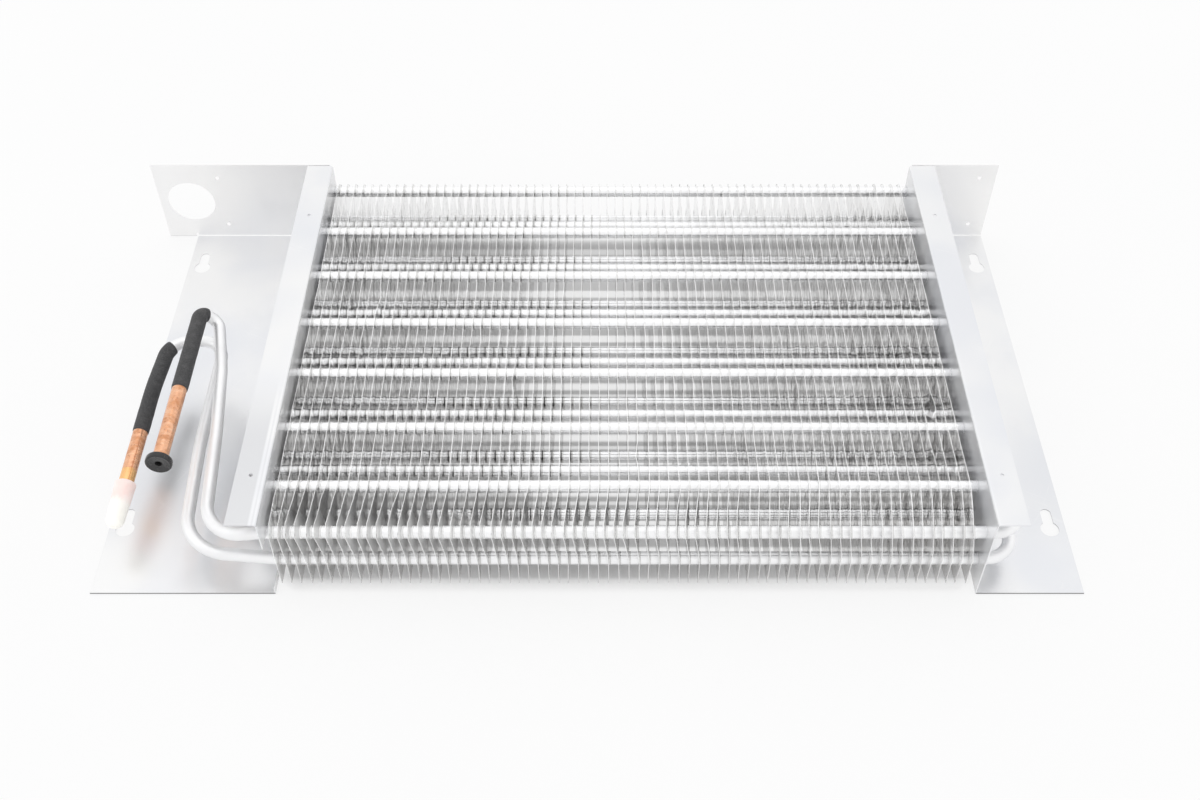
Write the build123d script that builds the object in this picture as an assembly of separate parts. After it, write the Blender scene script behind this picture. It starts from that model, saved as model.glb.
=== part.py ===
from build123d import *
import os

# Evaporator coil of a refrigerator, lying on the bottom flanges of its two end brackets.
# The origin is under the middle of the coil. X runs across it, Y from front to rear, Z up.
# Sizes are in millimetres. An "out" distance is measured from a web's inner face, away from the fins,
# and a "back" distance from the front edge of the brackets.

# Folded sheet brackets
bracket_height = 82.0
bracket_depth = 403.0
web_distance = 511.5
sheet = 1.0
fold_radius = 1.0
top_flange = 22.5
left_flange = 136.6
right_flange = 80.0
left_tab_overhang = 26.4
right_tab_overhang = 0.0
tab_to_web = 3.0
tab_foot = 8.0
relief_width = 2.0
relief_height = 4.0
cutter_reach = 2.0

# Holes in the brackets
top_hole_diameter = 3.0
top_hole_backs = (45.0, 333.0)
tab_hole_diameter = 3.5
tab_hole_spacing = 53.0
left_tab_hole_out = 106.0
right_tab_hole_out = 65.5
line_hole_diameter = 42.0
line_hole_out = 134.5
keyhole_head_diameter = 14.0
keyhole_slot_width = 8.2
keyhole_slot_length = 15.0
keyhole_edge_margin = 12.0
keyhole_backs = (59.0, 357.0)

# Refrigerant tube and its places in the coil
tube_diameter = 9.52
tube_wall = 0.8
tube_fit = 0.05
web_fit = 0.1
columns = 7
first_column_back = 54.5
last_column_margin = 7.7
lower_row_height = 24.4
row_rise = 33.2
front_column_back = 16.0
front_lower_height = 22.5
front_rise = 31.0
bend_standoff = 6.3

# Belled joints of the return bends, outside the left web
bell_standoff = 0.5
bell_taper = 1.5
bell_length = 5.0
bell_gap = 0.3
bend_neck = 0.5

# Fins
fin_thickness = 0.25
fin_pitch = 7.25
fin_first_gap = 4.1
fin_least_last_gap = 5.0
fin_bottom = 6.0
fin_height = 60.5
fin_front_back = 5.5
fin_rear_margin = 0.5
fin_corner_cut = 7.0
fins_per_bank = 7

# Notch in the left web for both front tubes; the upper one rests in a round seat at its top
notch_depth = 24.5
notch_bottom = 8.5
notch_height = 46.0
notch_radius = 3.0

# Outlet hook, the left end of the upper front tube: places as out, back and height
outlet_turn_place = (46.8, front_column_back, 47.0)
outlet_knee_place = (52.5, 108.0, 58.0)
outlet_bow_place = (59.0, 168.0, 63.0)
outlet_loop_place = (69.5, 217.5, 66.0)
outlet_loop_far_place = (81.5, 217.5, 78.0)
outlet_end_place = (81.0, 63.0, 78.0)
outlet_turn_radius = 30.0
outlet_bow_radius = 120.0
outlet_loop_radius = 8.4

# Inlet hook, the left end of the lower front tube
inlet_turn_place = (65.4, front_column_back, 31.5)
inlet_knee_place = (70.4, 112.0, 36.5)
inlet_loop_place = (68.0, 216.5, 46.0)
inlet_loop_far_place = (112.5, 216.5, 46.0)
inlet_bow_place = (116.3, 165.0, 44.3)
inlet_end_place = (119.8, 56.0, 33.5)
inlet_turn_radius = 33.0
inlet_loop_radius = 19.0

# Radii of the gentle knees in both hooks, and of their bends at the web
knee_radius = 300.0
web_bend_radius = 40.0

# Copper stubs on the ends of the hooks, and the sleeves over the joints, as lengths back from the ends
stub_diameter = 11.2
stub_wall = 0.8
stub_insertion = 15.0
outlet_stub_length = 87.0
inlet_stub_length = 84.5
stub_fit = 0.05
sleeve_wall = 0.6
sleeve_overlap = 18.0
outlet_sleeve_stop = 156.0
inlet_sleeve_stop = 155.0

# Plug in the outlet stub
plug_flange_diameter = 19.4
plug_flange_thickness = 5.0
plug_edge_radius = 1.5
plug_spigot_length = 10.0
plug_hole_diameter = 5.0
plug_hole_depth = 6.0

# Cap over the inlet stub
cap_overlap = 19.0
cap_reach = 19.0
cap_mouth_diameter = 16.0
cap_tip_diameter = 13.6
cap_tip_radius = 5.0
cap_end_wall = 1.5
cap_cavity_diameter = 10.0

# Places that follow from the sizes
tube_radius = tube_diameter / 2
bore_radius = tube_radius - tube_wall
stub_radius = stub_diameter / 2
stub_bore_radius = stub_radius - stub_wall
sleeve_radius = stub_radius + stub_fit + sleeve_wall
left_reach = left_flange + left_tab_overhang
right_reach = right_flange + right_tab_overhang
left_face = (left_reach - right_reach - web_distance) / 2
right_face = left_face + web_distance
front = -bracket_depth / 2
rear = front + bracket_depth
upper_row_height = lower_row_height + row_rise
middle_row_height = (lower_row_height + upper_row_height) / 2
front_upper_height = front_lower_height + front_rise
column_pitch = (bracket_depth - last_column_margin - first_column_back) / (columns - 1)
column_places = [front + first_column_back + column_pitch * i for i in range(columns)]
front_place = front + front_column_back

upper_tubes = [Vector(0, y, upper_row_height) for y in column_places]
lower_tubes = [Vector(0, y, lower_row_height) for y in column_places]
middle_tubes = [Vector(0, y + column_pitch / 2, middle_row_height) for y in column_places[:-1]]
front_upper = Vector(0, front_place, front_upper_height)
front_lower = Vector(0, front_place, front_lower_height)
coil_tubes = upper_tubes + lower_tubes + middle_tubes

left_bell_mouth = left_face - sheet - bell_standoff - bell_taper - bell_length
left_bend_start = left_bell_mouth - bend_neck
right_bend_start = right_face + sheet + bend_standoff


def at_x(place, x):
    """A tube's place, moved along its axis to x."""
    return Vector(x, place.Y, place.Z)


def half_turn(first, second, x, direction):
    """The half circle that joins two tubes at x and bulges towards direction, 1 or -1."""
    start, end = at_x(first, x), at_x(second, x)
    middle = (start + end) * 0.5 + Vector(direction * (end - start).length / 2, 0, 0)
    return ThreePointArc(start, middle, end)


def pipe(path, outer, inner):
    """A round pipe along a path of lines and tangent arcs."""
    return sweep(Plane(path @ 0, z_dir=path % 0) * (Circle(outer) - Circle(inner)), path=path)


def bar(path, radius):
    """A round bar along a path."""
    return sweep(Plane(path @ 0, z_dir=path % 0) * Circle(radius), path=path)


def stretch(path, start, stop):
    """The part of a path between two lengths from its start."""
    return path.trim(start / path.length, stop / path.length)


def bell(place):
    """The widened left end of a coil tube, which takes the end of a return bend."""
    neck = left_bell_mouth + bell_length + bell_taper
    shoulder = left_bell_mouth + bell_length
    seat = tube_radius + tube_fit
    profile = Polyline(
        (neck, bore_radius),
        (shoulder, seat),
        (left_bell_mouth, seat),
        (left_bell_mouth, seat + tube_wall),
        (shoulder, seat + tube_wall),
        (neck, tube_radius),
        close=True,
    )
    ring = revolve(make_face(profile), Axis.X)
    return Pos(0, place.Y, place.Z) * ring


def hairpin(first, second):
    """Two passes of the coil and the bend that joins them outside the right web."""
    neck = left_bell_mouth + bell_length + bell_taper
    path = Wire(
        [
            Line(at_x(first, neck), at_x(first, right_bend_start)),
            half_turn(first, second, right_bend_start, 1),
            Line(at_x(second, right_bend_start), at_x(second, neck)),
        ]
    )
    return pipe(path, tube_radius, bore_radius) + bell(first) + bell(second)


def return_bend(first, second):
    """The bend outside the left web, with its two ends in the bells of the hairpins."""
    tip = left_bell_mouth + bell_length - bell_gap
    path = Wire(
        [
            Line(at_x(first, tip), at_x(first, left_bend_start)),
            half_turn(first, second, left_bend_start, -1),
            Line(at_x(second, left_bend_start), at_x(second, tip)),
        ]
    )
    return pipe(path, tube_radius, bore_radius)


def hook_route(places, radii, front_pass):
    """The line of a hook and its front pass, from the open end to the start of the right bend."""
    points = [Vector(left_face - out, front + back, height) for out, back, height in places]
    points += [at_x(front_pass, left_face), at_x(front_pass, right_bend_start)]
    return FilletPolyline(*points, radius=[*radii, web_bend_radius])


def hook_tube(route, stub_length, front_pass, column_pass):
    """A hook with its front pass, the bend outside the right web and the pass behind it."""
    hook = stretch(route, stub_length - stub_insertion, route.length)
    neck = left_bell_mouth + bell_length + bell_taper
    path = Wire(
        [
            *hook.edges(),
            half_turn(front_pass, column_pass, right_bend_start, 1),
            Line(at_x(column_pass, right_bend_start), at_x(column_pass, neck)),
        ]
    )
    return pipe(path, tube_radius, bore_radius) + bell(column_pass)


def stub(route, length):
    """The copper stub on the open end of a hook."""
    return pipe(stretch(route, 0, length), stub_radius, stub_bore_radius)


def sleeve(route, stub_length, stop):
    """The sleeve over the joint of a hook and its stub."""
    start = stub_length - sleeve_overlap
    over_tube = bar(stretch(route, start - sleeve_wall, stop + sleeve_wall), tube_radius + tube_fit)
    over_stub = bar(stretch(route, start - sleeve_wall, stub_length), stub_radius + stub_fit)
    return bar(stretch(route, start, stop), sleeve_radius) - over_tube - over_stub


def plug(mouth):
    """The plug in the mouth of a stub; the mouth's Z points out of the stub."""
    flange = Cylinder(
        plug_flange_diameter / 2, plug_flange_thickness, align=(Align.CENTER, Align.CENTER, Align.MIN)
    )
    spigot = Cylinder(
        stub_bore_radius - stub_fit, plug_spigot_length, align=(Align.CENTER, Align.CENTER, Align.MAX)
    )
    hole = Pos(0, 0, plug_flange_thickness) * Cylinder(
        plug_hole_diameter / 2, plug_hole_depth, align=(Align.CENTER, Align.CENTER, Align.MAX)
    )
    return mouth * (fillet(flange.edges(), plug_edge_radius) + spigot - hole)


def cap(mouth):
    """The cap over the mouth of a stub; the mouth's Z points out of the stub."""
    body = Pos(0, 0, -cap_overlap) * Cone(
        cap_mouth_diameter / 2,
        cap_tip_diameter / 2,
        cap_overlap + cap_reach,
        align=(Align.CENTER, Align.CENTER, Align.MIN),
    )
    body = fillet(body.edges().sort_by(Axis.Z)[-1], cap_tip_radius)
    seat = Cylinder(
        stub_radius + stub_fit, cap_overlap, align=(Align.CENTER, Align.CENTER, Align.MAX)
    )
    cavity = Cylinder(
        cap_cavity_diameter / 2, cap_reach - cap_end_wall, align=(Align.CENTER, Align.CENTER, Align.MIN)
    )
    return mouth * (body - seat - cavity)


def sheet_section(flange):
    """The folded section of a bracket, in X and Z, with its web on X = 0 and its flanges at +X."""
    outside = FilletPolyline(
        (flange, 0), (0, 0), (0, bracket_height), (top_flange, bracket_height), radius=sheet + fold_radius
    )
    inside = FilletPolyline(
        (top_flange, bracket_height - sheet),
        (sheet, bracket_height - sheet),
        (sheet, sheet),
        (flange, sheet),
        radius=fold_radius,
    )
    ends = [Line(outside @ 1, inside @ 0), Line(inside @ 1, outside @ 0)]
    return make_face([*outside.edges(), *inside.edges(), *ends])


def tab_section():
    """The section of the rear tab and its fold, in Y and Z."""
    start = rear - tab_foot
    outside = FilletPolyline((start, 0), (rear, 0), (rear, bracket_height), radius=sheet + fold_radius)
    inside = FilletPolyline(
        (rear - sheet, bracket_height), (rear - sheet, sheet), (start, sheet), radius=fold_radius
    )
    ends = [Line(outside @ 1, inside @ 0), Line(inside @ 1, outside @ 0)]
    return make_face([*outside.edges(), *inside.edges(), *ends])


def across_sheet(sketch, x, y, z, normal):
    """A cutter through one sheet at a place, from a sketch in the sheet's plane."""
    x_direction = (0, 1, 0) if normal == (1, 0, 0) else (1, 0, 0)
    plane = Plane((x, y, z), x_dir=x_direction, z_dir=normal)
    return extrude(plane * sketch, cutter_reach, both=True)


def keyhole(flange, back):
    """A keyhole in the bottom flange, with its head to the front."""
    slot_end = Pos(0, keyhole_slot_length) * Circle(keyhole_slot_width / 2)
    slot = Pos(0, keyhole_slot_length / 2) * Rectangle(keyhole_slot_width, keyhole_slot_length)
    outline = Circle(keyhole_head_diameter / 2) + slot + slot_end
    return across_sheet(outline, flange - keyhole_edge_margin, front + back, sheet / 2, (0, 0, 1))


def bracket(flange, overhang, tab_hole_out, web_places):
    """A folded bracket with its web on X = 0 and its flanges at +X, and holes for the tubes."""
    channel_depth = bracket_depth - sheet - fold_radius
    plane = Plane((0, front + channel_depth, 0), x_dir=(1, 0, 0), z_dir=(0, -1, 0))
    channel = extrude(plane * sheet_section(flange), channel_depth)
    tab = Pos(tab_to_web, 0, 0) * extrude(Plane.YZ * tab_section(), flange - tab_to_web)
    body = channel + tab
    if overhang > 0:
        wing = Pos(flange, rear - sheet, 0) * Box(
            overhang, sheet, bracket_height, align=(Align.MIN, Align.MIN, Align.MIN)
        )
        relief = Pos(relief_width / 2, -relief_height / 2) * Rectangle(relief_width, relief_height)
        slit = across_sheet(relief, flange, rear - sheet / 2, 0, (0, 1, 0))
        body = body + wing - slit
    middle = bracket_height / 2
    web_hole = Circle(tube_radius + web_fit)
    tab_hole = Circle(tab_hole_diameter / 2)
    top_hole = Circle(top_hole_diameter / 2)
    cutters = [across_sheet(web_hole, sheet / 2, p.Y, p.Z, (1, 0, 0)) for p in web_places]
    cutters += [keyhole(flange, back) for back in keyhole_backs]
    cutters += [
        across_sheet(top_hole, top_flange / 2, front + back, bracket_height - sheet / 2, (0, 0, 1))
        for back in top_hole_backs
    ]
    cutters += [
        across_sheet(tab_hole, tab_hole_out, rear - sheet / 2, height, (0, 1, 0))
        for height in (middle - tab_hole_spacing / 2, middle + tab_hole_spacing / 2)
    ]
    return body - cutters


def left_bracket():
    """The wide bracket: it also has the large hole in its tab and the open notch in its web."""
    body = bracket(left_flange, left_tab_overhang, left_tab_hole_out, [*coil_tubes, front_upper])
    line_hole = Circle(line_hole_diameter / 2)
    notch = Pos((notch_depth - notch_radius) / 2, 0) * RectangleRounded(
        notch_depth + notch_radius, notch_height, notch_radius
    )
    cutters = [
        across_sheet(line_hole, line_hole_out, rear - sheet / 2, bracket_height / 2, (0, 1, 0)),
        across_sheet(notch, sheet / 2, front, notch_bottom + notch_height / 2, (1, 0, 0)),
    ]
    return Pos(left_face, 0, 0) * mirror(body - cutters, about=Plane.YZ)


def right_bracket():
    """The narrow bracket."""
    places = [*coil_tubes, front_upper, front_lower]
    return Pos(right_face, 0, 0) * bracket(right_flange, right_tab_overhang, right_tab_hole_out, places)


def fin():
    """One fin in the plane X = 0, with cut upper corners and a hole for each tube."""
    length = bracket_depth - fin_front_back - fin_rear_margin
    middle_y = front + fin_front_back + length / 2
    plate = Pos(middle_y, fin_bottom + fin_height / 2) * Rectangle(length, fin_height)
    plate = chamfer(plate.vertices().group_by(Axis.Y)[-1], fin_corner_cut)
    places = [*coil_tubes, front_upper, front_lower]
    holes = [Pos(p.Y, p.Z) * Circle(tube_radius + tube_fit) for p in places]
    return extrude(Plane.YZ * (plate - holes), fin_thickness / 2, both=True)


def fin_banks():
    """The fins, evenly spaced from the left web, in groups."""
    first = left_face + fin_first_gap
    count = int((right_face - fin_least_last_gap - first) / fin_pitch) + 1
    plate = fin()
    fins = [Pos(first + fin_pitch * i, 0, 0) * plate for i in range(count)]
    return [fins[i : i + fins_per_bank] for i in range(0, count, fins_per_bank)]


def mouth_of(route):
    """The plane on the open end of a hook, with its Z pointing out of the tube."""
    return Plane(route @ 0, z_dir=-(route % 0))


def hooks():
    """Both front tubes with their copper stubs, sleeves and closures."""
    outlet = hook_route(
        [
            outlet_end_place,
            outlet_loop_far_place,
            outlet_loop_place,
            outlet_bow_place,
            outlet_knee_place,
            outlet_turn_place,
        ],
        [outlet_loop_radius, outlet_loop_radius, outlet_bow_radius, knee_radius, outlet_turn_radius],
        front_upper,
    )
    inlet = hook_route(
        [
            inlet_end_place,
            inlet_bow_place,
            inlet_loop_far_place,
            inlet_loop_place,
            inlet_knee_place,
            inlet_turn_place,
        ],
        [knee_radius, inlet_loop_radius, inlet_loop_radius, knee_radius, inlet_turn_radius],
        front_lower,
    )
    return {
        "outlet_tube": hook_tube(outlet, outlet_stub_length, front_upper, upper_tubes[0]),
        "inlet_tube": hook_tube(inlet, inlet_stub_length, front_lower, lower_tubes[0]),
        "outlet_stub": stub(outlet, outlet_stub_length),
        "inlet_stub": stub(inlet, inlet_stub_length),
        "outlet_sleeve": sleeve(outlet, outlet_stub_length, outlet_sleeve_stop),
        "inlet_sleeve": sleeve(inlet, inlet_stub_length, inlet_sleeve_stop),
        "outlet_plug": plug(mouth_of(outlet)),
        "inlet_cap": cap(mouth_of(inlet)),
    }


def circuit():
    """The hairpins and return bends, in the order of the flow from the outlet to the inlet."""
    behind = range(columns - 1)
    pairs_of_lower = range(columns - 1, 0, -2)
    nodes = {}
    for i in behind:
        nodes[f"hairpin_upper_{i + 1}"] = hairpin(middle_tubes[i], upper_tubes[i + 1])
        nodes[f"return_bend_upper_{i + 1}"] = return_bend(upper_tubes[i], middle_tubes[i])
    nodes["return_bend_rear"] = return_bend(upper_tubes[-1], lower_tubes[-1])
    for number, i in enumerate(pairs_of_lower, 1):
        nodes[f"hairpin_lower_{number}"] = hairpin(lower_tubes[i], lower_tubes[i - 1])
        nodes[f"return_bend_lower_{number}"] = return_bend(lower_tubes[i - 1], lower_tubes[i - 2])
    return nodes


def coil():
    """Every piece of the coil by name."""
    nodes = {"left_bracket": left_bracket(), "right_bracket": right_bracket()}
    for number, bank in enumerate(fin_banks(), 1):
        nodes[f"fin_bank_{number:02}"] = Compound(children=bank)
    return nodes | hooks() | circuit()


os.makedirs("parts", exist_ok=True)
for name, piece in coil().items():
    export_step(piece, f"parts/{name}.step")
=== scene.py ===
"""Dresses the evaporator coil. The brackets, tubes and copper stubs keep their CAD shapes and get their
finishes; the fins, sleeves and closures are worked out again as fine surfaces. Lengths are in metres, and
the frame is the CAD frame: X along the tubes, Y from front to rear, Z up. An "out" distance is measured
from the left web away from the fins, and a "back" distance from the front edge of the brackets."""
import bmesh
import bpy
import numpy as np
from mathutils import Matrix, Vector


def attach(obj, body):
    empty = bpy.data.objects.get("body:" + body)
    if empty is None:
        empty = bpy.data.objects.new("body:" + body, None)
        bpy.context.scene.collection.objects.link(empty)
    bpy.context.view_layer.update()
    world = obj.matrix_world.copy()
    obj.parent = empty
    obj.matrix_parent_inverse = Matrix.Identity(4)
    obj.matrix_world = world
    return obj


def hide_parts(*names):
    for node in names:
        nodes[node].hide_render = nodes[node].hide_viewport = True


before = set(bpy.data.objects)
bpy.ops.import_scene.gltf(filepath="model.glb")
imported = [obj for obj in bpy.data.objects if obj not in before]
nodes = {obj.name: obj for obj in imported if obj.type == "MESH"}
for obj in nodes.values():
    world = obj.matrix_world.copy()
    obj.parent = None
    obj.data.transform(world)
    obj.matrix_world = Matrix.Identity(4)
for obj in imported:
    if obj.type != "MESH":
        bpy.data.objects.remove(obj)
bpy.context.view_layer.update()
UP = np.array([0.0, 0.0, 1.0])

# Places of the coil, repeated from the part's source
FRONT, REAR = -0.2015, 0.2015
LEFT_FACE, RIGHT_FACE = -0.21425, 0.29725
MIDDLE_X = (LEFT_FACE + RIGHT_FACE) / 2
HALF_WIDTH = (RIGHT_FACE - LEFT_FACE) / 2
SHEET = 0.001
BRACKET_TOP = 0.082
TUBE_RADIUS = 0.00476
STUB_RADIUS = 0.0056
STUB_FIT = 0.00005
FIRST_COLUMN = 0.0545
COLUMN_PITCH = 0.0568
COLUMNS = 7
LOWER_ROW, MIDDLE_ROW, UPPER_ROW = 0.0244, 0.0410, 0.0576
FRONT_COLUMN = 0.016
FRONT_LOWER, FRONT_UPPER = 0.0225, 0.0535

# Fins; their front and rear edges are back distances
FIN_FRONT, FIN_REAR = 0.0055, 0.4025
FIN_BOTTOM, FIN_TOP = 0.006, 0.0665
FIN_CORNER_CUT = 0.007
FIRST_FIN = LEFT_FACE + 0.0041
FIN_PITCH = 0.00725
FIN_COUNT = 70
FINS_PER_BANK = 7
FIN_THICKNESS = 0.00025
FIN_EDGE_THICKNESS = 0.00045

# Cells of a fin: the steps across each, the heights of their corners, and the rings around a hole, with
# the collar's rings as distances from the fin and radii
CELL_STEPS = 4
HEIGHTS_BELOW = (FIN_BOTTOM, 0.0125, 0.0185, 0.0245, 0.0305, 0.0360, MIDDLE_ROW)
HEIGHTS_ABOVE = (MIDDLE_ROW, 0.0460, 0.0515, 0.0575, 0.0620, FIN_TOP)
OUTER_RING, MIDDLE_RING, COLLAR_FOOT = 0.0078, 0.0062, 0.00505
COLLAR_RINGS = ((0.00018, 0.00488), (0.0005, 0.00481), (0.0016, 0.00480))

# Marks of handling on a fin: the depths of a long and a short wave, the lean at a height above the middle
# row, and the depth, width and lowest height of a nick in the upper edge. All are nothing where the fin is
# held, close to the middle of a hole, and full where it is free, further out.
LONG_WAVE, SHORT_WAVE = 0.00045, 0.00030
LEAN, LEAN_HEIGHT = 0.00022, 0.025
NICK_DEPTH, NICK_WIDTH, NICK_LOWEST = 0.0009, 0.009, 0.050
HELD, FREE = 0.0055, 0.0140

# Pressed corners of the fins: the crease runs down to the front from its place in the upper edge
CORNER_BEND = 0.0052
CORNER_REACH = 0.026
CREASE_BACK = 0.048
CREASE_RUN, CREASE_DROP, CREASE_LENGTH = 0.0425, 0.0345, 0.0547

# Sleeves
SLEEVE_RADIUS = 0.00622
SLEEVE_OVERLAP = 0.018
DRAW_IN, DRAW_IN_LENGTH = 0.0004, 0.0008
SLEEVE_STEP, SLEEVE_STEP_LENGTH = 0.0001, 0.010
WRINKLE_DEPTH = 0.00013

# Shares of plain white that the camera sees in the floor, and the strength of the world as light
FLOOR_WHITE = 0.8
SHADED_PART = 0.42
LIT_PART = 1.0
MIRRORED_PART = 0.84
DAYLIGHT = 0.95


# Shapes

def unit(vectors):
    """Each vector divided by its length."""
    return vectors / np.linalg.norm(vectors, axis=-1, keepdims=True)


def smooth(values, low, high):
    """0 below low, 1 above high, and 3t^2 - 2t^3 between them."""
    t = np.clip((np.asarray(values, float) - low) / (high - low), 0.0, 1.0)
    return t * t * (3.0 - 2.0 * t)


def ripple(x, y, z, seed, waves, shortest, longest):
    """A smooth random value from -1 to 1 at each point: the mean of several sines whose directions,
    wavelengths and phases come from the seed."""
    rng = np.random.default_rng(seed)
    total = 0.0
    for _ in range(waves):
        direction = unit(rng.normal(size=3))
        number = 2 * np.pi / rng.uniform(shortest, longest)
        along_wave = direction[0] * x + direction[1] * y + direction[2] * z
        total = total + np.sin(number * along_wave + rng.uniform(0, 7))
    return total / waves


def shell(grid, wrap=True):
    """Points and quads of a grid of points, joined along both directions; wrap joins the last column
    to the first."""
    rows, columns = grid.shape[:2]
    index = np.arange(rows * columns).reshape(rows, columns)
    if wrap:
        index = np.hstack([index, index[:, :1]])
    quads = np.stack([index[:-1, :-1], index[:-1, 1:], index[1:, 1:], index[1:, :-1]], axis=-1)
    return grid.reshape(-1, 3), quads.reshape(-1, 4)


def rounded(corners, radii, steps=14):
    """Points of a line through corners, where each inner corner is an arc of its radius that touches
    both runs: centre + r (cos t e1 + sin t e2), with e1 towards the arc's start and e2 along the run
    before it."""
    corners = [np.array(corner, float) for corner in corners]
    points = [corners[0]]
    for before, corner, after, radius in zip(corners, corners[1:], corners[2:], radii):
        behind, ahead = unit(before - corner), unit(after - corner)
        half = np.arccos(np.clip(behind @ ahead, -1, 1)) / 2
        start = corner + behind * radius / np.tan(half)
        centre = corner + unit(behind + ahead) * radius / np.sin(half)
        turn = np.linspace(0, np.pi - 2 * half, steps)[:, None]
        points.extend(centre + radius * (np.cos(turn) * unit(start - centre) - np.sin(turn) * behind))
    points.append(corners[-1])
    return np.array(points)


def along(path, start, stop, count):
    """Evenly spaced points of a path between two lengths from its start."""
    lengths = np.concatenate([[0], np.cumsum(np.linalg.norm(np.diff(path, axis=0), axis=1))])
    places = np.linspace(start, stop, count)
    return np.stack([np.interp(places, lengths, path[:, axis]) for axis in range(3)], axis=1)


def circles_along(path, sides):
    """A circle of radius 1 for each point of a path, square to the path: cos a side + sin a up."""
    tangent = unit(np.gradient(path, axis=0))
    side = unit(np.cross(tangent, UP))
    up = np.cross(side, tangent)
    angle = np.linspace(0, 2 * np.pi, sides, endpoint=False)[:, None]
    return np.cos(angle) * side[:, None] + np.sin(angle) * up[:, None]


def tube(path, radius, sides):
    """A circle carried along a path: path + r circle, with the radius as an array by point and angle."""
    return shell(path[:, None] + radius[..., None] * circles_along(path, sides))


def turned(profile, base, axis, sides=48):
    """A profile of (distance along the axis, radius) turned about an axis through base."""
    profile = np.array(profile, float)
    axis = unit(np.array(axis, float))
    side = unit(np.cross(axis, UP))
    up = np.cross(side, axis)
    angle = np.linspace(0, 2 * np.pi, sides, endpoint=False)[:, None]
    circle = np.cos(angle) * side + np.sin(angle) * up
    return shell(np.array(base) + profile[:, :1, None] * axis + profile[:, 1:, None] * circle)


def arc(centre, radius, start, stop, count):
    """Points (along, out) of an arc in a profile, with its angles in degrees from the axis."""
    angle = np.radians(np.linspace(start, stop, count))
    return [(centre[0] + radius * np.cos(a), centre[1] + radius * np.sin(a)) for a in angle]


def mark_outline_sharp(mesh):
    """Marks the edges that have only one face as sharp, so that a thickened sheet gets crisp edges."""
    edge_of_corner = np.empty(len(mesh.loops), np.int32)
    mesh.loops.foreach_get("edge_index", edge_of_corner)
    sharp = np.empty(len(mesh.edges), bool)
    mesh.edges.foreach_get("use_edge_sharp", sharp)
    sharp |= np.bincount(edge_of_corner, minlength=len(sharp)) == 1
    mesh.edges.foreach_set("use_edge_sharp", sharp)


def piece(name, shells, finish, replaced, sharp=35, closed=True):
    """One object from several shells of points and quads, in the place of a CAD node. Doubled points
    are merged, which closes seams and poles, and the faces of a closed shape are turned outwards. Edges
    that turn by more than sharp degrees stay crisp."""
    starts = np.cumsum([0] + [len(points) for points, _ in shells])
    points = np.concatenate([points for points, _ in shells])
    quads = np.concatenate([quads + start for (_, quads), start in zip(shells, starts)])
    mesh = bpy.data.meshes.new(name)
    mesh.vertices.add(len(points))
    mesh.vertices.foreach_set("co", points.astype(np.float32).ravel())
    mesh.loops.add(quads.size)
    mesh.loops.foreach_set("vertex_index", quads.astype(np.int32).ravel())
    mesh.polygons.add(len(quads))
    mesh.polygons.foreach_set("loop_start", np.arange(len(quads), dtype=np.int32) * 4)
    mesh.update(calc_edges=True)
    edit = bmesh.new()
    edit.from_mesh(mesh)
    bmesh.ops.remove_doubles(edit, verts=edit.verts, dist=1e-6)
    if closed:
        bmesh.ops.recalc_face_normals(edit, faces=edit.faces)
    edit.to_mesh(mesh)
    edit.free()
    mesh.polygons.foreach_set("use_smooth", np.ones(len(mesh.polygons), bool))
    mesh.set_sharp_from_angle(angle=np.radians(sharp))
    if not closed:
        mark_outline_sharp(mesh)
    mesh.materials.append(finish)
    thing = bpy.data.objects.new(name, mesh)
    bpy.context.scene.collection.objects.link(thing)
    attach(thing, "root")
    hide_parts(replaced)
    return thing


# Finishes

class Value:
    """A shader socket in an expression: every operator adds one Math node."""

    def __init__(self, finish, socket):
        self.finish, self.socket = finish, socket

    def maths(self, operation, *others):
        """The socket and the other values put through one Math node."""
        sockets = {0: self.socket}
        for place, other in enumerate(others, 1):
            sockets[place] = other.socket if isinstance(other, Value) else other
        return self.finish.node("ShaderNodeMath", {"operation": operation}, sockets)

    def reflected(self, operation, other):
        """The same with a number as the first value."""
        return self.finish.node("ShaderNodeMath", {"operation": operation}, {0: other, 1: self.socket})

    def __add__(self, other):
        return self.maths("ADD", other)

    def __sub__(self, other):
        return self.maths("SUBTRACT", other)

    def __mul__(self, other):
        return self.maths("MULTIPLY", other)

    def __truediv__(self, other):
        return self.maths("DIVIDE", other)

    def __radd__(self, other):
        return self.reflected("ADD", other)

    def __rsub__(self, other):
        return self.reflected("SUBTRACT", other)

    def __rmul__(self, other):
        return self.reflected("MULTIPLY", other)

    def __rtruediv__(self, other):
        return self.reflected("DIVIDE", other)

    def clamped(self):
        """The value held between 0 and 1."""
        return self.maths("MAXIMUM", 0.0).maths("MINIMUM", 1.0)


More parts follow.
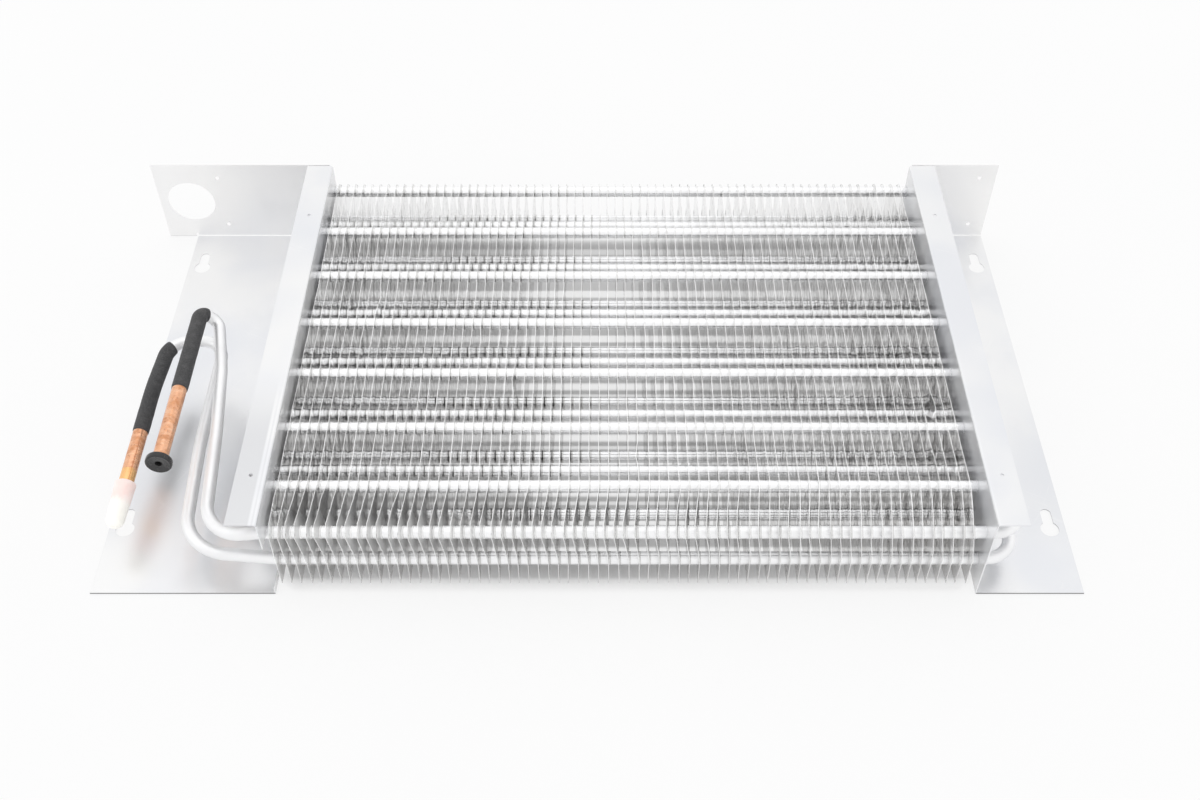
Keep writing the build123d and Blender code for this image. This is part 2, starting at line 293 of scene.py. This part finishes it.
class Finish:
    """A material and its nodes. Its node method makes any node from a type, the settings that are set
    first, and the values or links of its sockets."""

    def __init__(self, name, **constants):
        self.material = bpy.data.materials.new(name)
        self.material.use_nodes = True
        self.tree = self.material.node_tree
        self.shader = self.tree.nodes["Principled BSDF"]
        for socket, value in constants.items():
            self.shader.inputs[socket.replace("_", " ")].default_value = value
        self.place = self.node("ShaderNodeTexCoord", {}, {}, "Object")

    def node(self, kind, settings, sockets, output=0):
        """One node of a kind, as the value of one of its outputs."""
        made = self.tree.nodes.new(kind)
        for setting, value in settings.items():
            setattr(made, setting, value)
        for socket, value in sockets.items():
            value = value.socket if isinstance(value, Value) else value
            if isinstance(value, bpy.types.NodeSocket):
                self.tree.links.new(value, made.inputs[socket])
            else:
                made.inputs[socket].default_value = value
        return Value(self, made.outputs[output])

    def coordinates(self):
        """The place's x, y and z."""
        parts = self.node("ShaderNodeSeparateXYZ", {}, {"Vector": self.place}).socket.node
        return [Value(self, output) for output in parts.outputs]

    def stretched(self, scale, turn=(0, 0, 0)):
        """The place, turned and then scaled along each axis."""
        turned_place = self.node("ShaderNodeMapping", {}, {"Vector": self.place, "Rotation": turn})
        return self.node("ShaderNodeMapping", {}, {"Vector": turned_place, "Scale": scale})

    def noise(self, scale, detail=3.0, place=None, roughness=0.5):
        """Soft noise around 0.5, with scale cells to a metre."""
        sockets = {"Vector": place or self.place, "Scale": scale, "Detail": detail, "Roughness": roughness}
        return self.node("ShaderNodeTexNoise", {}, sockets)

    def between(self, value, low, high, to_low=0.0, to_high=1.0):
        """The value mapped from low..high to to_low..to_high, and held there outside."""
        sockets = {"Value": value, "From Min": low, "From Max": high, "To Min": to_low, "To Max": to_high}
        return self.node("ShaderNodeMapRange", {"interpolation_type": "SMOOTHSTEP"}, sockets)

    def mix(self, factor, first, second):
        """A colour between first and second."""
        sockets = {0: factor}
        for socket, colour in ((6, first), (7, second)):
            sockets[socket] = colour if isinstance(colour, Value) else (*colour, 1.0)
        return self.node("ShaderNodeMix", {"data_type": "RGBA"}, sockets, 2)

    def bump(self, height, strength, distance):
        """A normal bent by a height."""
        return self.node("ShaderNodeBump", {}, {"Height": height, "Strength": strength, "Distance": distance})

    def feed(self, **sockets):
        """Links values to the shader's own sockets."""
        for socket, value in sockets.items():
            self.tree.links.new(value.socket, self.shader.inputs[socket.replace("_", " ")])
        return self.material


def scratches(finish, count, turn, width=0.012):
    """Thin broken lines in one direction: where stretched noise passes its middle value."""
    lines = finish.noise(1.0, 1.0, finish.stretched((count, count * 0.03, count * 0.5), turn))
    line = 1.0 - finish.between((lines - 0.5).maths("ABSOLUTE"), width * 0.3, width)
    broken = finish.between(finish.noise(26.0, 2.0), 0.52, 0.62)
    return line * broken


def sheet_finish():
    """Bright rolled sheet: fine lines along the rolling direction, soft bluish clouds, smudges and a few
    faint scratches. The bottom flanges get a painted shade in a stretch behind their front, the outer part
    of the left top flange at the front gets a painted dark reflection, and the rear tabs are paler. The
    cut edges of the bottom flanges get a painted shade, most of all at the front, and the webs are
    smoother and paler on their inner faces."""
    finish = Finish("rolled aluminium sheet")
    x, depth, height = finish.coordinates()
    out = LEFT_FACE - x
    rolling = finish.noise(1.0, 4.0, finish.stretched((2600.0, 22.0, 2600.0)), 0.6)
    worn = finish.between(finish.noise(19.0, 4.0, roughness=0.6), 0.50, 0.70)
    clouds = finish.between(finish.noise(7.0, 3.0), 0.38, 0.66)
    marks = (scratches(finish, 160.0, (0, 0, 0.5)) + scratches(finish, 120.0, (0.2, 0, -1.1))).clamped()
    colour = finish.mix(worn * 0.35, (0.90, 0.90, 0.90), (0.84, 0.845, 0.86))
    colour = finish.mix(clouds * 0.75, colour, (0.785, 0.80, 0.84))

    # Painted shade and darker reflection on the bottom flanges in a stretch behind their front, stronger on
    # the left
    on_bottom = 1.0 - finish.between(height, SHEET + 0.0002, SHEET + 0.0020)
    behind_front = finish.between(depth, FRONT + 0.03, FRONT + 0.08)
    behind_front = behind_front * (1.0 - finish.between(depth, FRONT + 0.12, FRONT + 0.24))
    painted_shade_bottom = behind_front * on_bottom * finish.between(x, -0.1, 0.1, 0.6, 0.4)
    colour = finish.mix(painted_shade_bottom, colour, (0.745, 0.755, 0.78))

    tab = finish.between(depth, REAR - 0.0025, REAR - 0.0015)
    colour = finish.mix(tab * 0.8, colour, (0.985, 0.98, 0.975))
    colour = finish.mix(marks * 0.15, colour, (0.95, 0.95, 0.95))

    # Painted dark reflection on the outer part of the left top flange at the front, with a thin painted dark
    # line in it
    on_top = finish.between(height, BRACKET_TOP - 0.0020, BRACKET_TOP - 0.0005)
    outer = finish.between(out, 0.0050, 0.0068) * on_top
    line = finish.between((out - 0.0033).maths("ABSOLUTE"), 0.0002, 0.0009, 0.5, 0.0)
    painted_reflection_top = (outer + line).clamped() * (1.0 - finish.between(depth, FRONT + 0.075, FRONT + 0.15))
    colour = finish.mix(painted_reflection_top * on_top, colour, (0.725, 0.73, 0.745))

    # Painted shade on the cut edges of the bottom flanges: their front edge, and the walls of their holes and
    # edges, darker in the front half
    painted_shade_front_edge = 1.0 - finish.between(depth, FRONT + 0.0001, FRONT + 0.0005)
    painted_shade_front_edge = painted_shade_front_edge * (1.0 - finish.between(height, SHEET + 0.0002, SHEET + 0.0006))
    colour = finish.mix(painted_shade_front_edge * 0.8, colour, (0.22, 0.22, 0.22))
    painted_shade_hole_walls = finish.between(height, 0.00005, 0.00015) * (1.0 - finish.between(height, 0.0007, 0.0009))
    painted_shade_hole_walls = painted_shade_hole_walls * finish.between(depth, -0.05, 0.0, 0.6, 0.2)
    colour = finish.mix(painted_shade_hole_walls, colour, (0.25, 0.25, 0.25))

    from_middle = (x - MIDDLE_X).maths("ABSOLUTE")
    inner_face = 1.0 - finish.between(from_middle, HALF_WIDTH + 0.0001, HALF_WIDTH + 0.0004)
    rough = finish.between(rolling, 0.3, 0.7, 0.30, 0.36) + worn * 0.07 + marks * 0.04 - inner_face * 0.18
    metal = 1.0 - inner_face * 0.75
    bumpy = finish.bump(rolling * 0.12 + marks * -0.15 + clouds * 0.5, 0.10, 0.0004)
    return finish.feed(Base_Color=colour, Metallic=metal, Roughness=rough, Normal=bumpy)


def fin_finish():
    """Thin fin stock: bright, softly dented by handling, with duller patches, a painted warm shade on the
    lower half behind the front tubes that fades towards the rear, paler front ends, and a tone that
    differs a little from fin to fin."""
    finish = Finish("fin foil")
    _, depth, height = finish.coordinates()
    dents = finish.noise(85.0, 2.0)
    streaks = finish.noise(1.0, 3.0, finish.stretched((60.0, 60.0, 900.0)), 0.6)
    tarnish = finish.between(finish.noise(34.0, 4.0), 0.50, 0.74)
    each = finish.between(finish.noise(1.0, 1.0, finish.stretched((420.0, 14.0, 14.0))), 0.42, 0.62)
    colour = finish.mix(tarnish * 0.4, (0.975, 0.975, 0.975), (0.90, 0.90, 0.905))
    colour = finish.mix(each * 0.5, colour, (0.74, 0.735, 0.73))
    front = 1.0 - finish.between(depth, FRONT + 0.014, FRONT + 0.032)
    # Painted warm shade on the lower half of the fins, weaker at the front ends and fading towards the rear
    lower = (1.0 - finish.between(height, 0.018, 0.040)) * (1.0 - front * 0.6)
    lower = lower * finish.between(depth, -0.14, 0.10, 0.8, 0.3)
    colour = finish.mix(lower, colour, (0.56, 0.545, 0.53))
    rough = finish.between(streaks, 0.3, 0.7, 0.05, 0.11) + tarnish * 0.06
    metal = 0.78 - front * 0.38
    bumpy = finish.bump(dents + streaks * 0.06, 0.55, 0.0018)
    return finish.feed(Base_Color=colour, Metallic=metal, Roughness=rough, Normal=bumpy)


def tube_finish():
    """Drawn aluminium tube: bright between the webs, softer in the two front passes and satin outside
    the webs, with fine marks along the passes and slight dull patches."""
    finish = Finish("drawn aluminium tube", Metallic=1.0)
    drawing = finish.noise(1.0, 4.0, finish.stretched((30.0, 1500.0, 1500.0)), 0.6)
    dull = finish.between(finish.noise(42.0, 4.0), 0.45, 0.7)
    grain = finish.noise(2600.0, 2.0)
    colour = finish.mix(dull * 0.5, (0.965, 0.967, 0.975), (0.90, 0.90, 0.905))
    x, depth, _ = finish.coordinates()
    outside = finish.between((x - MIDDLE_X).maths("ABSOLUTE"), HALF_WIDTH - 0.002, HALF_WIDTH + 0.001)
    front = (1.0 - finish.between(depth, FRONT + 0.024, FRONT + 0.034)) * (1.0 - outside)
    rough = finish.between(drawing, 0.3, 0.7, 0.13, 0.20) + dull * 0.06 + outside * 0.34 + front * 0.14
    bumpy = finish.bump(drawing * 0.3 + grain * 0.1 + dull * 0.4, 0.10, 0.0003)
    return finish.feed(Base_Color=colour, Roughness=rough, Normal=bumpy)


def copper_finish():
    """Drawn copper: warm and bright, with brown patches where it was heated. The inlet stub is golden
    close to its cap."""
    finish = Finish("drawn copper", Metallic=1.0)
    heat = finish.between(finish.noise(95.0, 4.0, roughness=0.65), 0.44, 0.64)
    blots = finish.between(finish.noise(230.0, 3.0, roughness=0.6), 0.50, 0.66)
    bands = finish.noise(1.0, 3.0, finish.stretched((120.0, 420.0, 120.0)), 0.6)
    spots = finish.between(finish.noise(520.0, 3.0), 0.60, 0.70)
    colour = finish.mix(heat * 0.85, (0.88, 0.49, 0.31), (0.62, 0.27, 0.13))
    colour = finish.mix(blots * 0.5, colour, (0.82, 0.40, 0.20))
    colour = finish.mix(finish.between(bands, 0.48, 0.72) * 0.5, colour, (0.98, 0.66, 0.46))
    colour = finish.mix(spots * 0.5, colour, (0.34, 0.14, 0.08))
    x, depth, _ = finish.coordinates()
    near_cap = 1.0 - finish.between(depth + (bands - 0.5) * 0.006, FRONT + 0.085, FRONT + 0.0865)
    inlet_side = 1.0 - finish.between(x, -0.320, -0.315)
    colour = finish.mix(near_cap * inlet_side * 0.8, colour, (1.0, 0.60, 0.25))
    rough = 0.24 + heat * 0.12 + spots * 0.15
    relief = bands * 0.3 + blots * 0.3 + spots * -0.4 + finish.noise(900.0, 2.0) * 0.2
    return finish.feed(Base_Color=colour, Roughness=rough, Normal=finish.bump(relief, 0.25, 0.0004))


def sleeve_finish():
    """Matte black sleeve: slanted ribbed grain, slight dust and rubbed high spots."""
    finish = Finish("shrunk sleeve", IOR=1.45)
    grain = finish.noise(1.0, 3.0, finish.stretched((2400.0, 700.0, 1500.0), (0.3, 0.2, 0.7)), 0.6)
    folds = finish.noise(1.0, 3.0, finish.stretched((300.0, 700.0, 300.0)), 0.6)
    dust = finish.between(finish.noise(130.0, 4.0, roughness=0.65), 0.46, 0.72)
    rubbed = finish.between(grain, 0.48, 0.62)
    colour = finish.mix(dust * 0.6, (0.046, 0.046, 0.048), (0.115, 0.113, 0.115))
    colour = finish.mix(rubbed * 0.35, colour, (0.145, 0.143, 0.145))
    rough = 0.60 + dust * 0.2 + rubbed * -0.08
    bumpy = finish.bump(grain * 0.9 + folds * 0.8, 0.6, 0.0006)
    return finish.feed(Base_Color=colour, Roughness=rough, Normal=bumpy)


def plug_finish():
    """Moulded black rubber: satin, with a faint bloom."""
    finish = Finish("moulded rubber", IOR=1.5)
    bloom = finish.between(finish.noise(180.0, 4.0, roughness=0.6), 0.48, 0.72)
    grain = finish.noise(2200.0, 2.0)
    colour = finish.mix(bloom * 0.5, (0.024, 0.023, 0.024), (0.058, 0.056, 0.056))
    rough = 0.22 + bloom * 0.16
    return finish.feed(Base_Color=colour, Roughness=rough, Normal=finish.bump(grain, 0.12, 0.0003))


def cap_finish():
    """Milky soft plastic, pinkish where the copper is behind it and a little yellower at its end. It
    glows faintly, for the light that comes through its wall."""
    coat = {"Coat_Weight": 0.3, "Coat_Roughness": 0.15}
    finish = Finish("milky soft plastic", IOR=1.4, Emission_Strength=0.16, **coat)
    milk = finish.between(finish.noise(110.0, 3.0), 0.35, 0.7)
    wipes = finish.noise(1.0, 3.0, finish.stretched((500.0, 90.0, 500.0)), 0.5)
    depth = finish.coordinates()[1]
    pink = finish.between(depth + (wipes - 0.5) * 0.006, FRONT + 0.053, FRONT + 0.061)
    colour = finish.mix(pink, (0.97, 0.955, 0.90), (0.95, 0.76, 0.72))
    colour = finish.mix(milk * 0.4, colour, (0.97, 0.93, 0.91))
    rough = 0.30 + milk * 0.14 + finish.between(wipes, 0.4, 0.65) * 0.08
    bumpy = finish.bump(wipes * 0.4 + milk * 0.4, 0.1, 0.0004)
    return finish.feed(Base_Color=colour, Emission_Color=colour, Roughness=rough, Normal=bumpy)


def dress(finish, *words):
    """Gives a finish to the CAD nodes that keep their shapes and whose names start with one of the words."""
    for name, node in nodes.items():
        if name.startswith(words):
            for material_slot in node.material_slots:
                material_slot.material = finish


dress(sheet_finish(), "left_bracket", "right_bracket")
dress(tube_finish(), "hairpin", "return_bend", "outlet_tube", "inlet_tube")
dress(copper_finish(), "outlet_stub", "inlet_stub")


# Fins

def cell_outline(low, high, heights):
    """The corners of a cell between two back distances, once round from its lower front corner."""
    across = np.linspace(low, high, CELL_STEPS + 1)
    lower, upper = (across[:-1], heights[0]), (across[:0:-1], heights[-1])
    rear, front = (high, heights[:-1]), (low, heights[:0:-1])
    return np.concatenate([np.stack(np.broadcast_arrays(*side), 1) for side in (lower, rear, upper, front)])


def fin_cells():
    """The flat fin as cells around its holes: a rectangle's outline for each hole, and the hole's centre.
    All cells share their corner heights, so that their edges meet. Points are (back, height)."""
    columns = [(FRONT_COLUMN, (FRONT_LOWER, FRONT_UPPER))]
    for number in range(COLUMNS):
        place = FIRST_COLUMN + COLUMN_PITCH * number
        columns.append((place, (LOWER_ROW, UPPER_ROW)))
        if number < COLUMNS - 1:
            columns.append((place + COLUMN_PITCH / 2, (MIDDLE_ROW,)))
    places = [place for place, _ in columns]
    borders = [FIN_FRONT, *((a + b) / 2 for a, b in zip(places, places[1:])), FIN_REAR]
    cells = []
    for (place, holes), low, high in zip(columns, borders, borders[1:]):
        spans = [HEIGHTS_BELOW, HEIGHTS_ABOVE] if len(holes) == 2 else [HEIGHTS_BELOW + HEIGHTS_ABOVE[1:]]
        for hole, span in zip(holes, spans):
            cells.append((cell_outline(low, high, np.array(span)), np.array([place, hole])))
    return cells


def from_ends(back):
    """The distance of a back distance from the nearer end of the fin."""
    return np.minimum(back - FIN_FRONT, FIN_REAR - back)


def upper_edge(back):
    """The height of a fin's upper edge, which slopes down over its two cut corners."""
    return FIN_TOP - np.clip(FIN_CORNER_CUT - from_ends(back), 0, None)


def fin_shells(cells, x, number):
    """One fin at x: a shell of rings for each cell, from its outline to its hole and the collar. The
    plane is displaced along X by two waves, a nick in the upper edge and a lean, which fade towards the
    tubes, and by the front upper corner: the distance beyond a slanted crease, to the power 1.25."""
    rng = np.random.default_rng(500 + number)
    corner_bend = CORNER_BEND * rng.uniform(0.75, 1.1) * smooth(number, 0.4, 2.0)
    lean = rng.normal(0, LEAN)
    nick_place, nick_depth = rng.uniform(0.03, 0.39), rng.normal(0, NICK_DEPTH)
    shells = []
    for outline, hole in cells:
        start = outline[0] - hole
        first = np.arctan2(start[1], start[0])
        angle = first + np.linspace(0, 2 * np.pi, len(outline), endpoint=False)
        circle = np.stack([np.cos(angle), np.sin(angle)], 1)
        halfway = (outline + hole + circle * OUTER_RING) / 2
        rings = [outline, halfway, hole + circle * MIDDLE_RING, hole + circle * COLLAR_FOOT]
        back, height = np.moveaxis(np.stack(rings), -1, 0)
        height = np.minimum(height, upper_edge(back))
        free = smooth(np.hypot(back - hole[0], height - hole[1]), HELD, FREE)
        wave = LONG_WAVE * ripple(x * 0.4, back, height, seed=7, waves=6, shortest=0.02, longest=0.09)
        seed = 11 + number % 7
        wave += SHORT_WAVE * ripple(x * 3.0, back, height, seed, waves=5, shortest=0.012, longest=0.05)
        nick = nick_depth * np.exp(-((back - nick_place) / NICK_WIDTH) ** 2)
        nick *= smooth(height, NICK_LOWEST, FIN_TOP)
        leaning = lean * (height - MIDDLE_ROW) / LEAN_HEIGHT
        crease = ((CREASE_BACK - back) * CREASE_DROP + (height - FIN_TOP) * CREASE_RUN) / CREASE_LENGTH
        corner = corner_bend * np.clip(crease / CORNER_REACH, 0, None) ** 1.25
        shift = (wave + nick + leaning) * free - corner
        points = np.stack([x + shift, FRONT + back, height], -1)
        shells.append(shell(np.concatenate([points, collar(points[-1], hole)])))
    return shells


def collar(edge, hole):
    """The pressed collar at a hole: rings that turn from the fin's plane to the tube's direction."""
    centre = np.array([0, FRONT + hole[0], hole[1]])
    outward = unit((edge - centre) * np.array([0, 1, 1]))
    plane = edge * np.array([1, 0, 0])
    rings = [plane + np.array([reach, 0, 0]) + centre + outward * radius for reach, radius in COLLAR_RINGS]
    return np.stack(rings)


def thicken(fins):
    """Gives the fins of a bank their thickness. The cut edges are a little thicker than the sheet, with
    the burr that cutting leaves."""
    places = np.empty(len(fins.data.vertices) * 3, np.float32)
    fins.data.vertices.foreach_get("co", places)
    back, height = places[1::3] - FRONT, places[2::3]
    inside = np.minimum(from_ends(back), np.minimum(height - FIN_BOTTOM, upper_edge(back) - height))
    on_edge = inside < 1e-4
    edges = fins.vertex_groups.new(name="edges")
    edges.add(np.flatnonzero(on_edge).tolist(), 1.0, "REPLACE")
    thickness = fins.modifiers.new("thickness", "SOLIDIFY")
    thickness.thickness = FIN_EDGE_THICKNESS
    thickness.offset = 0.0
    thickness.vertex_group = edges.name
    thickness.thickness_vertex_group = FIN_THICKNESS / FIN_EDGE_THICKNESS


def make_fins():
    """Every fin, in the same groups as the CAD nodes."""
    foil = fin_finish()
    cells = fin_cells()
    for bank in range(FIN_COUNT // FINS_PER_BANK):
        shells = []
        for number in range(bank * FINS_PER_BANK, (bank + 1) * FINS_PER_BANK):
            shells += fin_shells(cells, FIRST_FIN + FIN_PITCH * number, number)
        thicken(piece(f"fins_{bank + 1:02}", shells, foil, f"fin_bank_{bank + 1:02}", closed=False))


make_fins()


# Sleeves and closures

def hook(places, radii):
    """The open end of a hook's line, through places as out, back and height, with its corners rounded."""
    return rounded([(LEFT_FACE - out, FRONT + back, height) for out, back, height in places], radii)


OUTLET = hook(
    [(0.081, 0.063, 0.078), (0.0815, 0.2175, 0.078), (0.0695, 0.2175, 0.066), (0.059, 0.168, 0.063)],
    [0.0084, 0.0084],
)
INLET = hook(
    [(0.1198, 0.056, 0.0335), (0.1163, 0.165, 0.0443), (0.1125, 0.2165, 0.046), (0.068, 0.2165, 0.046)],
    [0.3, 0.019],
)


def wrinkled_sleeve(name, route, start, stop, node, seed):
    """A black sleeve on a stretch of a route. Its radius is drawn in by e^(-s / length) at a distance s
    from the nearer end, steps down behind the copper's end, and has soft wrinkles across it. Its bore
    fits the copper and then the thinner tube, and a lip closes each end."""
    rings, sides = 150, 48
    reach = np.linspace(start, stop, rings)[:, None]
    angle = np.linspace(0, 2 * np.pi, sides, endpoint=False)[None, :]
    copper_end = start + SLEEVE_OVERLAP
    from_end = np.minimum(reach - start, stop - reach)
    radius = SLEEVE_RADIUS - DRAW_IN * np.exp(-from_end / DRAW_IN_LENGTH)
    radius = radius - SLEEVE_STEP * smooth(reach, copper_end, copper_end + SLEEVE_STEP_LENGTH)
    side, up = 0.004 * np.cos(angle), 0.004 * np.sin(angle)
    wrinkle = ripple(reach, side, up, seed, waves=7, shortest=0.004, longest=0.02)
    radius = radius + WRINKLE_DEPTH * (wrinkle - 0.4)
    path = along(route, start, stop, rings)
    bore_rings = 60
    fitted = np.where(np.linspace(start, stop, bore_rings) < copper_end, STUB_RADIUS, TUBE_RADIUS)
    bore_radius = np.tile((fitted + STUB_FIT)[:, None], (1, sides))
    shells = [tube(path, radius, sides), tube(along(route, start, stop, bore_rings), bore_radius, sides)]
    circles = circles_along(path, sides)
    for end in (0, -1):
        lip = np.stack([radius[end], bore_radius[end]])
        shells.append(shell(path[end] + lip[..., None] * circles[end]))
    piece(name, shells, sleeve_black, node)


def make_plug():
    """The black plug, turned about the stub's axis: a grooved spigot in the stub, a round flange with a
    soft edge and a raised rim, and a dished face with a blind hole."""
    spigot_radius, groove_radius, groove_half = 0.00475, 0.0044, 0.0006
    spigot = [(-0.0100, 0.0), (-0.0100, 0.0040), (-0.0094, 0.00472)]
    for groove in (-0.0064, -0.0030):
        spigot.append((groove - groove_half, spigot_radius))
        spigot.append((groove, groove_radius))
        spigot.append((groove + groove_half, spigot_radius))
    flange = [(0.0, spigot_radius), (0.0, 0.0082)]
    flange += arc((0.0015, 0.0082), 0.0015, 180, 90, 7) + arc((0.0038, 0.0085), 0.0012, 90, 0, 7)
    face = [(0.0047, 0.0078), (0.0045, 0.0070), (0.00445, 0.0040), (0.0041, 0.0033)]
    hole = [(0.0042, 0.0026), (0.0036, 0.0024), (-0.0010, 0.0023), (-0.0010, 0.0)]
    body = turned(spigot + flange + face + hole, OUTLET[0], OUTLET[0] - OUTLET[1])
    piece("plug", [body], plug_finish(), "outlet_plug", sharp=50)


def make_cap():
    """The clear cap, turned about the stub's axis: a tapered thimble with a rolled mouth, a domed end
    and a wall of about 2 mm."""
    seat_radius = STUB_RADIUS + STUB_FIT
    inside = [(0.0175, 0.0), (0.0175, 0.0030)] + arc((0.0155, 0.0030), 0.0020, 0, 90, 6)
    inside += [(0.0, 0.0050), (-0.0002, seat_radius), (-0.0190, seat_radius)]
    mouth = arc((-0.0183, 0.0073), 0.0007, 180, 90, 6) + [(-0.0165, 0.00785), (-0.0140, 0.00775)]
    outside = [(0.0135, 0.00685)] + arc((0.0130, 0.0008), 0.0060, 85, 0, 14) + [(0.0190, 0.0)]
    body = turned(inside + mouth + outside, INLET[0], INLET[0] - INLET[1])
    piece("cap", [body], cap_finish(), "inlet_cap", sharp=50)


sleeve_black = sleeve_finish()
wrinkled_sleeve("sleeve_outlet", OUTLET, start=0.069, stop=0.156, node="outlet_sleeve", seed=3)
wrinkled_sleeve("sleeve_inlet", INLET, start=0.0665, stop=0.155, node="inlet_sleeve", seed=4)
make_plug()
make_cap()


# Floor, light and camera

def make_floor():
    """A wide pale floor. The camera, reflections and clear plastic see part of its light as plain white,
    which leaves the shadow faint. Under the fins they see less, in stripes along X, because less light
    gets there: with d the distance behind the first column and p half the pitch of the columns, broad
    stripes follow cos(2 pi (d / p - 0.437)), and thin ones beside them follow it 0.37 of a turn further
    on. The stripes are darker at both ends of the fins, lighter towards the rear and the right, and a
    little darker in reflections."""
    reach, near, far = 6.0, -4.0, 9.0
    corners = [[(-reach, near, 0.0), (-reach, far, 0.0)], [(reach, near, 0.0), (reach, far, 0.0)]]
    points, quads = shell(np.array(corners), wrap=False)
    mesh = bpy.data.meshes.new("floor")
    mesh.from_pydata(points.tolist(), [], quads[:, ::-1].tolist())
    finish = Finish("pale floor", Roughness=0.9)
    tone = finish.between(finish.noise(3.0, 2.0), 0.3, 0.7)
    finish.feed(Base_Color=finish.mix(tone, (0.89, 0.89, 0.895), (0.91, 0.91, 0.91)))
    mesh.materials.append(finish.material)

    rays = finish.node("ShaderNodeLightPath", {}, {}).socket.node.outputs
    mirrored = Value(finish, rays["Is Glossy Ray"])
    seen = Value(finish, rays["Is Camera Ray"]) + Value(finish, rays["Is Transmission Ray"])
    seen = (seen + mirrored).clamped() * FLOOR_WHITE
    x, depth, _ = finish.coordinates()
    beside, before = (x - MIDDLE_X).maths("ABSOLUTE"), depth.maths("ABSOLUTE")
    open_floor = (finish.between(beside, 0.240, 0.262) + finish.between(before, 0.187, 0.202)).clamped()
    turns = (depth - (FRONT + FIRST_COLUMN)) / (COLUMN_PITCH / 2) - 0.437
    angle = turns * (2 * np.pi)
    broad = finish.between(angle.maths("COSINE"), 0.35, 0.95)
    thin = finish.between((angle + 0.37 * (2 * np.pi)).maths("COSINE"), 0.85, 1.0)
    shaded = SHADED_PART + (broad + thin * 0.7).clamped() * (LIT_PART - SHADED_PART)
    shaded = shaded * finish.between(before, 0.160, 0.178, 1.0, 0.5)
    shaded = shaded * finish.between(depth, 0.0, 0.14, 1.0, 1.35) * finish.between(x, 0.08, 0.26, 1.0, 1.4)
    shaded = (shaded * (1.0 - mirrored * (1.0 - MIRRORED_PART))).clamped()
    seen = seen * (open_floor + (1.0 - open_floor) * shaded)
    white = finish.node("ShaderNodeEmission", {}, {"Color": (1, 1, 1, 1), "Strength": 1.0})
    mixed = finish.node("ShaderNodeMixShader", {}, {0: seen, 1: finish.shader.outputs[0], 2: white})
    finish.tree.links.new(mixed.socket, finish.tree.nodes["Material Output"].inputs["Surface"])

    floor = bpy.data.objects.new("floor", mesh)
    floor.location.z = -0.0002
    bpy.context.scene.collection.objects.link(floor)


def make_world():
    """White where the camera, reflections and clear plastic look past the floor, and a softer white as
    light."""
    world = bpy.data.worlds.new("studio")
    world.use_nodes = True
    bpy.context.scene.world = world
    tree = world.node_tree
    background = tree.nodes["Background"]
    background.inputs["Color"].default_value = (1, 1, 1, 1)
    rays = tree.nodes.new("ShaderNodeLightPath")
    strength = tree.nodes.new("ShaderNodeMapRange")
    strength.inputs["To Min"].default_value = 1.0
    strength.inputs["To Max"].default_value = DAYLIGHT
    tree.links.new(rays.outputs["Is Diffuse Ray"], strength.inputs["Value"])
    tree.links.new(strength.outputs["Result"], background.inputs["Strength"])


def area_light(name, place, width, length, watts):
    """A rectangular soft light at a place, facing the coil."""
    lamp = bpy.data.lights.new(name, "AREA")
    lamp.shape = "RECTANGLE"
    lamp.size, lamp.size_y = width, length
    lamp.energy = watts
    light = bpy.data.objects.new(name, lamp)
    light.location = place
    light.rotation_euler = (-Vector(place)).to_track_quat("-Z", "Y").to_euler()
    bpy.context.scene.collection.objects.link(light)


def make_camera(place, downward, lens):
    """The photograph's camera on a 36 mm sensor, looking to the rear and down by some degrees."""
    camera = bpy.data.cameras.new("camera")
    camera.lens, camera.sensor_width = lens, 36.0
    camera.clip_start, camera.clip_end = 0.05, 30.0
    eye = bpy.data.objects.new("camera", camera)
    eye.location = place
    eye.rotation_euler = (np.radians(90.0 - downward), 0.0, 0.0)
    bpy.context.scene.collection.objects.link(eye)
    bpy.context.scene.camera = eye


make_floor()
make_world()
area_light("overhead", (-0.3, 0.3, 2.0), width=2.6, length=2.0, watts=3.2)
area_light("left_fill", (-1.9, -0.6, 1.3), width=1.2, length=1.2, watts=1.0)
make_camera((0.02275, -0.7792, 0.833), downward=47.2, lens=41.1)
bpy.context.scene.view_settings.view_transform = "Standard"
